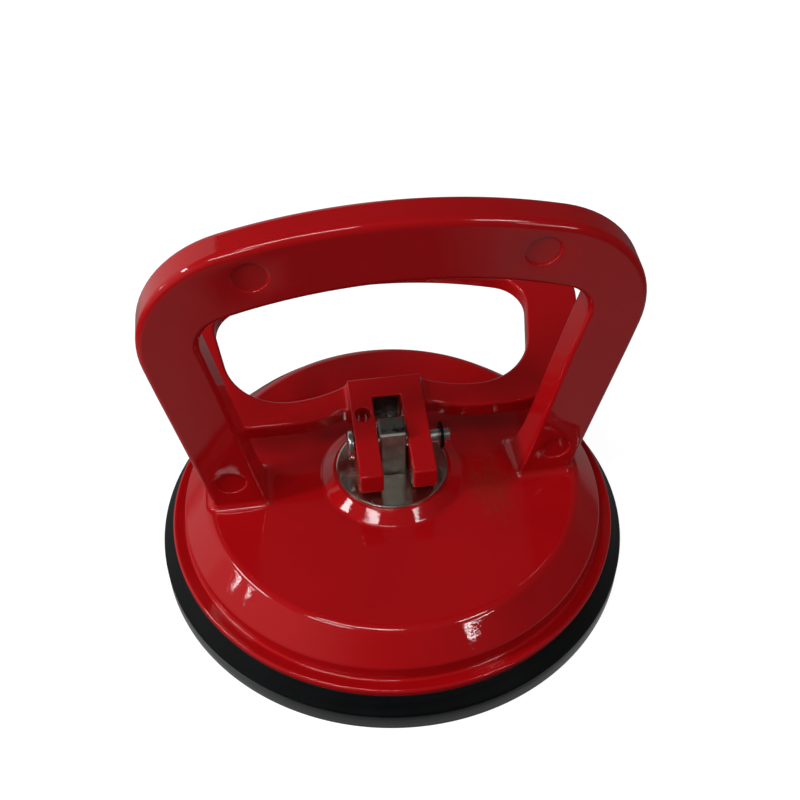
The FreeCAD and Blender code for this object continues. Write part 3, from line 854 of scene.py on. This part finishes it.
# The fork: a block with a slot. Its underside is a flat heel and then the cam, and paint softens its edges.
shape = bmesh.new()
heel = Vector((heel_length * math.cos(lever_rest) - cam_reach * math.sin(lever_rest),
               -heel_length * math.sin(lever_rest) - cam_reach * math.cos(lever_rest)))
underside = [Vector((heel_start, hub_bottom)), heel]
underside += [cam_point(lever_rest + lever_swing * k / cam_steps) for k in range(cam_steps + 1)]
underside.append(Vector((prong_tip, hub_top)))
sides = []
for x in (-hub_half, -slot_half, slot_half, hub_half):
    inmost = slot_root if abs(x) < hub_half else hub_back
    under = [shape.verts.new((x, p.x, p.y)) for p in underside]
    high = shape.verts.new((x, inmost, hub_top))
    low = shape.verts.new((x, inmost, hub_bottom))
    shape.faces.new(under + [high, low])
    sides.append((under, high, low))
for one, other in (sides[:2], sides[2:]):
    for k in range(len(underside) - 1):
        shape.faces.new([one[0][k], other[0][k], other[0][k + 1], one[0][k + 1]])
(a, a_high, a_low), (b, b_high, b_low), (c, c_high, c_low), (d, d_high, d_low) = sides
shape.faces.new([a[-1], b[-1], b_high, c_high, c[-1], d[-1], d_high, a_high])
shape.faces.new([a[0], b[0], b_low, c_low, c[0], d[0], d_low, a_low])
shape.faces.new([a_high, d_high, d_low, a_low])
shape.faces.new([b_high, c_high, c_low, b_low])
bmesh.ops.recalc_face_normals(shape, faces=shape.faces)
# Faces on the slot's walls take the second material, which paints shade on them.
for face in shape.faces:
    centre = face.calc_center_median()
    in_slot = abs(centre.x) < slot_half + 0.01 and centre.y < slot_root + 0.01
    face.material_index = int(in_slot and abs(face.normal.z) < 0.5)
corners = [edge for edge in shape.edges if edge.calc_face_angle() > math.radians(25)]
bmesh.ops.bevel(shape, geom=corners, offset=hub_bevel, offset_type="OFFSET", segments=3, profile=0.5,
                affect="EDGES", clamp_overlap=True)

# A narrow hem keeps the large faces flat beside their soft edges. The deck takes a blind hole, and the
# cheeks take the bore of the pin.
flats = [face for face in shape.faces if face.calc_area() > flat_area]
bmesh.ops.inset_individual(shape, faces=flats, thickness=flat_hem, use_even_offset=True)
deck = max((face for face in flats if face.normal.z > 0.99), key=lambda face: face.calc_area())
cheeks = [face for face in flats if abs(face.normal.x) > 0.99]
cheeks.sort(key=lambda face: face.calc_center_median().x)
turns = once_round(hole_sides)
prong_middle = -(slot_half + hub_half) / 2
mouth = [(hole_radius + hole_break, hub_top), (hole_radius, hub_top - hole_break),
         (hole_radius, hub_top - hole_depth)]
cup = [[(prong_middle + r * math.cos(t), hole_u + r * math.sin(t), w) for t in turns] for r, w in mouth]
cup = [pierced(shape, deck, cup[0])] + [loop_of(shape, ring) for ring in cup[1:]]
walled(shape, cup[0], cup[1])
walled(shape, cup[1], cup[2])
shape.faces.new(cup[2])
eyes = []
for face in cheeks:
    x = face.calc_center_median().x
    eyes.append(pierced(shape, face, [(x, bore * math.cos(t), bore * math.sin(t)) for t in turns]))
walled(shape, eyes[0], eyes[1])
walled(shape, eyes[2], eyes[3])

# The loop: one section carried round the outline, hidden inside the hub and filleted at its sides.
outer = loop_outline(bar_front, dip_front_radius, loop_corner_x, loop_corner,
                     loop_length, loop_crown + loop_length - loop_far, loop_shoulder)
inner = loop_outline(bar_back, dip_back_radius, dip_x, loop_inner_corner,
                     loop_far, loop_crown, loop_inner_shoulder)
rings = []
for far, near in zip(outer, inner):
    top, bottom = lever_top, lever_bottom
    if far.y < hub_back:
        away = abs(far.x) - hub_half
        if away < -tuck:
            far = Vector((far.x, slot_root + slot_wall))
            near = near - Vector((0, tuck))
            bottom += tuck
        else:
            far = far - Vector((0, fillet(away, front_fillet)))
            top += fillet(away, top_fillet)
            bottom -= fillet(away, under_fillet)
    width = (far - near).length
    section = rounded([(0, bottom, lever_edge), (width, bottom, lever_edge),
                       (width, top, lever_edge), (0, top, lever_edge)], steps=6)
    spots = [(near + (far - near) * (reach / width), w) for reach, w in section]
    rings.append([Vector((p.x, p.y, w)) for p, w in spots])
lofted(shape, rings + rings[:1])
bmesh.ops.remove_doubles(shape, verts=shape.verts, dist=weld)
shape.transform(Matrix.Translation((0, 0, pin_z)) @ Matrix.Rotation(lever_rest, 4, "X"))
lever = piece("lever_casting", shape, enamel, "red_paint", "lever", "lever")
# The second material paints shade on the slot's walls.
lever.data.materials.append(slot_shade_finish)

# Lever pin
# A turned steel pin with a thin flat head at the left; it carries the lever and passes through the stud.
# A groove near its right end takes the clip.
pin_radius = 1.7
pin_end = 14.4
pin_break = 0.35
pin_sides = 72
head_radius = 3.65
head_left = -10.9
head_right = -9.4
groove_floor = 1.3
groove_left = 11.7
groove_right = 12.5

section = [
    (0, head_left, 0),
    (head_radius, head_left, 0.55),
    (head_radius, head_right, 0.35),
    (pin_radius, head_right, 0.2),
    (pin_radius, groove_left, 0.08),
    (groove_floor, groove_left, 0),
    (groove_floor, groove_right, 0),
    (pin_radius, groove_right, 0.08),
    (pin_radius, pin_end - pin_break, 0.1),
    (pin_radius - pin_break, pin_end, 0.1),
    (0, pin_end, 0),
]
shape = bmesh.new()
turned(shape, rounded(section, steps=5, hold=0.1), pin_sides)
shape.transform(Matrix.Translation((0, 0, pin_z)) @ Matrix.Rotation(math.pi / 2, 4, "Y"))
piece("lever_pin_turned", shape, zinc_plate, "steel", "stud", "lever_pin")

# Pin clip
# A stamped E-clip of blackened spring steel, pushed into the groove from above.
# Three inner lugs grip the groove and the mouth opens downwards.
clip_play = 0.05
clip_left = groove_left + clip_play
clip_right = groove_right - clip_play
clip_outer = 3.4
clip_lug = 1.35
clip_relief = 2.15
clip_break = 0.08
clip_steps = 96
lug_turns = [math.radians(72), math.radians(180), math.radians(288)]
lug_shoulder = 0.9
lug_ease = 0.07
mouth_half = 1.15

start = math.asin(mouth_half / clip_outer)
angles = [start + (2 * math.pi - 2 * start) * k / clip_steps for k in range(clip_steps + 1)]
shape = bmesh.new()
rings = []
for turn in angles:
    grip = max(math.cos(turn - lug) for lug in lug_turns)
    ease = min(1.0, max(0.0, (grip - lug_shoulder) / lug_ease))
    inside = clip_relief + (clip_lug - clip_relief) * ease
    across = [
        (inside, clip_left + clip_break),
        (inside + clip_break, clip_left),
        (clip_outer - clip_break, clip_left),
        (clip_outer, clip_left + clip_break),
        (clip_outer, clip_right - clip_break),
        (clip_outer - clip_break, clip_right),
        (inside + clip_break, clip_right),
        (inside, clip_right - clip_break),
    ]
    rings.append([Vector((x, r * math.sin(turn), pin_z - r * math.cos(turn))) for r, x in across])
made = lofted(shape, rings)
shape.faces.new(made[0])
shape.faces.new(made[-1])
piece("pin_clip_stamped", shape, black_steel, "black_steel", "stud", "pin_clip")

# Floor, light and camera
# A plain white sweep in a dim room: a soft key from the left, small windows that the gloss mirrors,
# and grey flags round the object, seen by mirror reflections alone, that keep the paint deep.
white = (1, 1, 1, 1)
ceiling_dark = (0.06, 0.06, 0.06, 1)
wall_top = 0.38
ceiling_start = 0.6
room_fill = 0.04
floor_half = 4
floor_grey = "#858585"
floor_glow = 0.93
floor_glow_reach = 0.3
floor_white_reach = 1.2


def straight_on(tree):
    """One where the camera, a mirror or clear glass looks straight at what is lit, and otherwise zero."""
    path = add(tree, "ShaderNodeLightPath")
    seen = path.outputs["Is Camera Ray"]
    for ray in ("Is Glossy Ray", "Is Transmission Ray"):
        seen = add(tree, "ShaderNodeMath", {0: seen, 1: path.outputs[ray]}, operation="MAXIMUM").outputs[0]
    return seen


world = bpy.data.worlds.new("white studio")
bpy.context.scene.world = world
world.use_nodes = True
tree = world.node_tree
tree.nodes.clear()
upwards = add(tree, "ShaderNodeSeparateXYZ", {0: add(tree, "ShaderNodeTexCoord").outputs["Generated"]})
height = add(tree, "ShaderNodeMapRange", {0: upwards.outputs["Z"], 1: wall_top, 2: ceiling_start},
             interpolation_type="SMOOTHSTEP")
backdrop = add(tree, "ShaderNodeMix", {0: height.outputs[0], 6: white, 7: ceiling_dark}, data_type="RGBA")
walls = add(tree, "ShaderNodeBackground", {"Color": backdrop.outputs[2], "Strength": 1.0})
fill = add(tree, "ShaderNodeBackground", {"Color": white, "Strength": room_fill})
both = add(tree, "ShaderNodeMixShader", {0: straight_on(tree), 1: fill.outputs[0], 2: walls.outputs[0]})
add(tree, "ShaderNodeOutputWorld", {"Surface": both.outputs[0]})

# White paper: matt, and evenly bright wherever it is looked at.
paper, tree, shader, place = finish_named("white paper sweep")
tree.nodes.remove(shader)
apart = add(tree, "ShaderNodeVectorMath", {0: place}, operation="LENGTH")
paler = add(tree, "ShaderNodeMapRange", {0: apart.outputs["Value"], 1: floor_glow_reach,
                                         2: floor_white_reach, 3: floor_glow, 4: 1.0})
glow = add(tree, "ShaderNodeMath", {0: straight_on(tree), 1: paler.outputs[0]}, operation="MULTIPLY")
matt = add(tree, "ShaderNodeBsdfDiffuse", {"Color": linear(floor_grey)})
bright = add(tree, "ShaderNodeEmission", {"Color": white, "Strength": glow.outputs[0]})
both = add(tree, "ShaderNodeAddShader", {0: matt.outputs[0], 1: bright.outputs[0]})
tree.links.new(both.outputs[0], tree.nodes["Material Output"].inputs["Surface"])
sweep = bpy.data.meshes.new("floor")
floor_corners = [(x * floor_half, y * floor_half, 0) for x, y in ((-1, -1), (1, -1), (1, 1), (-1, 1))]
sweep.from_pydata(floor_corners, [], [(0, 1, 2, 3)])
sweep.materials.append(paper)
floor = bpy.data.objects.new("floor", sweep)
bpy.context.scene.collection.objects.link(floor)

# Flag cloth: dark in front and at the right, paler behind, far to the left and close beside the object.
flag_dark = 0.05
flag_bright = 0.55
flag_near = 0.24
flag_inner = 0.061
flag_outer = 0.9
flag_height = 0.75
flag_lift = 0.0004
flag_sides = 96
behind_from, behind_to = 0.05, 0.2
left_from, left_to = -0.2, -0.85
left_share = 0.6
right_from, right_to = 0.03, 0.13
right_share = 0.05
close_from, close_to = 0.13, 0.2
beside_from, beside_to = 0.02, 0.055
cloth, tree, shader, place = finish_named("grey flag cloth")
tree.nodes.remove(shader)
across = add(tree, "ShaderNodeSeparateXYZ", {0: place})
behind = add(tree, "ShaderNodeMapRange", {0: across.outputs["Y"], 1: behind_from, 2: behind_to},
             interpolation_type="SMOOTHSTEP")
leftwards = add(tree, "ShaderNodeMapRange", {0: across.outputs["X"], 1: left_from, 2: left_to,
                                             4: left_share}, interpolation_type="SMOOTHSTEP")
clear = add(tree, "ShaderNodeMapRange", {0: across.outputs["X"], 1: right_from, 2: right_to,
                                         3: 1.0, 4: right_share})
behind = add(tree, "ShaderNodeMath", {0: behind.outputs[0], 1: clear.outputs[0]}, operation="MULTIPLY")
open_side = add(tree, "ShaderNodeMath", {0: behind.outputs[0], 1: leftwards.outputs[0]},
                operation="MAXIMUM")
level = add(tree, "ShaderNodeMapRange", {0: open_side.outputs[0], 3: flag_dark, 4: flag_bright})
apart = add(tree, "ShaderNodeVectorMath", {0: place}, operation="LENGTH")
close = add(tree, "ShaderNodeMapRange", {0: apart.outputs["Value"], 1: close_from, 2: close_to,
                                         3: flag_near, 4: 0.0})
sideways = add(tree, "ShaderNodeMath", {0: across.outputs["X"]}, operation="ABSOLUTE")
beside = add(tree, "ShaderNodeMapRange", {0: sideways.outputs[0], 1: beside_from, 2: beside_to})
beside = add(tree, "ShaderNodeMath", {0: beside.outputs[0], 1: close.outputs[0]}, operation="MULTIPLY")
level = add(tree, "ShaderNodeMath", {0: level.outputs[0], 1: beside.outputs[0]}, operation="MAXIMUM")
dim = add(tree, "ShaderNodeEmission", {"Color": white, "Strength": level.outputs[0]})
tree.links.new(dim.outputs[0], tree.nodes["Material Output"].inputs["Surface"])
shape = bmesh.new()
flag_profile = [(flag_inner, flag_lift), (flag_outer, flag_lift), (flag_outer, flag_height)]
rings = [ring_at(shape, radius, height, flag_sides) for radius, height in flag_profile]
walled(shape, rings[0], rings[1])
walled(shape, rings[1], rings[2])
flag_mesh = bpy.data.meshes.new("flags")
shape.to_mesh(flag_mesh)
shape.free()
flag_mesh.materials.append(cloth)
flags = bpy.data.objects.new("flags", flag_mesh)
bpy.context.scene.collection.objects.link(flags)
flags.visible_camera = False
flags.visible_diffuse = False
flags.visible_transmission = False
flags.visible_shadow = False

# Each lamp: name, azimuth from the back towards the right, elevation, distance, width, height,
# level, and whether the gloss mirrors it.
middle = Vector((0, 0, 0.03))
lamps = (
    ("ceiling tube", -145, 68, 0.8, 0.37, 0.04, 0.18, True),
    ("left window", -90, 37, 0.8, 0.3, 0.06, 0.18, True),
    ("left key", -103, 21, 0.85, 0.13, 0.13, 0.52, False),
    ("low left pane", -90, 15, 0.8, 0.08, 0.03, 0.03, True),
    ("low left lamp", -99, 18, 0.8, 0.03, 0.02, 0.012, True),
    ("front left lamp", -135, 50, 0.8, 0.25, 0.05, 0.11, True),
    ("right lamp", 140, 50, 0.8, 0.15, 0.06, 0.08, True),
    ("right front pane", 147, 27, 0.8, 0.14, 0.012, 0.028, True),
    ("right front lamp", 140, 27.8, 0.8, 0.09, 0.015, 0.024, True),
    ("right bounce", 110, 12, 0.85, 0.25, 0.25, 0.11, False),
    ("back fill", 15, 8, 0.85, 0.4, 0.25, 0.3, False),
)
for name, azimuth, elevation, distance, wide, tall, level, mirrored in lamps:
    turn, lift = math.radians(azimuth), math.radians(elevation)
    towards = Vector((math.sin(turn) * math.cos(lift), math.cos(turn) * math.cos(lift), math.sin(lift)))
    light = bpy.data.lights.new(name, "AREA")
    light.shape = "RECTANGLE"
    light.size = wide
    light.size_y = tall
    light.energy = level * (math.pi * distance) ** 2
    lamp = bpy.data.objects.new(name, light)
    lamp.location = middle + towards * distance
    lamp.rotation_euler = (-towards).to_track_quat("-Z", "Y").to_euler()
    lamp.visible_camera = False
    lamp.visible_glossy = mirrored
    bpy.context.scene.collection.objects.link(lamp)

# The camera stands in front of the handle, a little to its left, and looks down on the dish.
eye = Vector((-0.02507, -0.18375, 0.23108))
target = Vector((0.002, 0, 0.04657))
lens = bpy.data.cameras.new("camera")
lens.lens = 50
lens.sensor_width = 36
lens.clip_start = 0.01
camera = bpy.data.objects.new("camera", lens)
camera.location = eye
camera.rotation_euler = (target - eye).to_track_quat("-Z", "Y").to_euler()
bpy.context.scene.collection.objects.link(camera)
bpy.context.scene.camera = camera
bpy.context.scene.view_settings.view_transform = "Standard"
